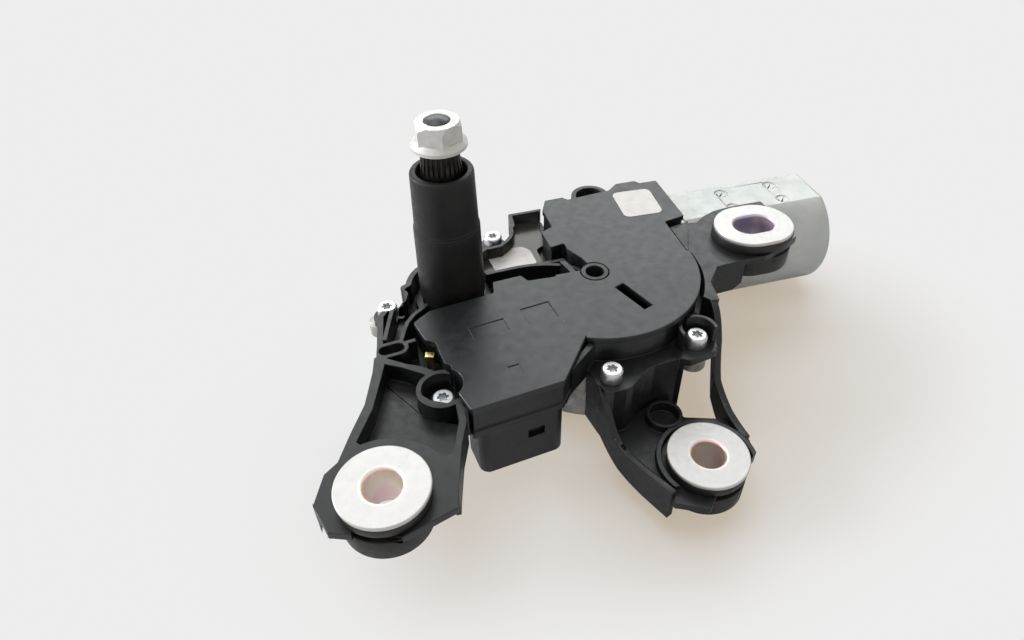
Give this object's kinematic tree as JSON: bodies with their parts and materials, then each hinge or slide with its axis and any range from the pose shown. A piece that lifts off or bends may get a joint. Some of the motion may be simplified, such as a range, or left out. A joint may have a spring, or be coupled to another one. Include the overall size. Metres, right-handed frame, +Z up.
{
  "type": "rear wiper motor",
  "caption": "Rear wiper drive: motor in a flatted can, cast gear housing, ribbed carrier on rubber-mounted feet and a sleeved hollow spindle that rocks to and fro.",
  "frame": {"origin": "on the spindle's axis at the level of the carrier's deck, where the rubber sleeve leaves it", "axes": "+Z up the spindle, +X along the motor towards its closed end, +Y towards the motor's side"},
  "size_m": [0.2104, 0.1405, 0.1054],
  "materials": {
    "carrier_plastic": "fine-grained moulded nylon",
    "cover_plastic": "fine-grained moulded nylon",
    "cast_aluminium": "as cast",
    "seal_rubber": "smooth",
    "sleeve_rubber": "satin",
    "mount_rubber": "matte",
    "zinc_steel": "bright zinc plate",
    "spindle_steel": "phosphated",
    "wheel_plastic": "natural",
    "contact_brass": "bright",
    "can_steel": "zinc plated",
    "ferrite": "ground",
    "core_steel": "laminated",
    "copper_wire": "enamelled copper",
    "carbon": "matte",
    "sintered_bronze": "sintered"
  },
  "bodies": {
    "base": {"carrier": "carrier_plastic", "cover": "cover_plastic", "gear_housing": "cast_aluminium", "housing_seal": "seal_rubber", "housing_screws": "zinc_steel", "washer_tube": "carrier_plastic", "spindle_sleeve": "sleeve_rubber", "spindle_bush_lower": "sintered_bronze", "spindle_bush_upper": "sintered_bronze", "spindle_seal": "seal_rubber", "thrust_washer": "zinc_steel", "wheel_axle": "spindle_steel", "wheel_clip": "zinc_steel", "wheel_washer": "zinc_steel", "contact_springs": "contact_brass", "bus_bars": "contact_brass", "connector_housing": "carrier_plastic", "connector_pins": "contact_brass", "ground_contact": "contact_brass", "motor_can": "can_steel", "can_screws": "zinc_steel", "magnet_front": "ferrite", "magnet_rear": "ferrite", "brush_plate": "wheel_plastic", "brushes": "carbon", "drive_bush": "sintered_bronze", "rear_bush": "sintered_bronze", "end_bush": "sintered_bronze", "thrust_pad": "wheel_plastic", "grommet_a": "mount_rubber", "grommet_b": "mount_rubber", "grommet_c": "mount_rubber", "eyelet_a": "zinc_steel", "eyelet_b": "zinc_steel", "eyelet_c": "zinc_steel"},
    "armature": {"armature_shaft": "spindle_steel", "worm": "spindle_steel", "armature_core": "core_steel", "armature_windings": "copper_wire", "commutator": "copper_wire"},
    "wheel": {"worm_wheel": "wheel_plastic", "crank_pin": "spindle_steel", "contact_disc": "contact_brass"},
    "output": {"spindle": "spindle_steel", "spindle_nut": "zinc_steel", "nozzle_cap": "carrier_plastic", "output_lever": "spindle_steel", "lever_pin": "spindle_steel", "spindle_clip": "zinc_steel"},
    "rod": {"drive_rod": "spindle_steel"}
  },
  "joints": [
    {"name": "armature_spin", "type": "hinge", "parent": "base", "child": "armature", "pos_m": [0.115, 0.026, -0.0222], "axis": [1, 0, 0], "continuous": true},
    {"name": "wheel_spin", "type": "hinge", "parent": "base", "child": "wheel", "pos_m": [0.0476, -0.01, -0.0222], "axis": [0, 0, 1], "continuous": true},
    {"name": "spindle_turn", "type": "hinge", "parent": "base", "child": "output", "pos_m": [0, 0, 0], "axis": [0, 0, 1], "range_deg": [-54.9, 54.9]},
    {"name": "rod_turn", "type": "hinge", "parent": "output", "child": "rod", "pos_m": [-0.00288, -0.0137, -0.03], "axis": [0, 0, 1], "range_deg": [-55.1, 55.1]}
  ],
  "couplings": [
    {"joint": "wheel_spin", "follows": "armature_spin", "ratio": 0.016667},
    {"joint": "rod_turn", "follows": "spindle_turn", "ratio": -1}
  ]
}
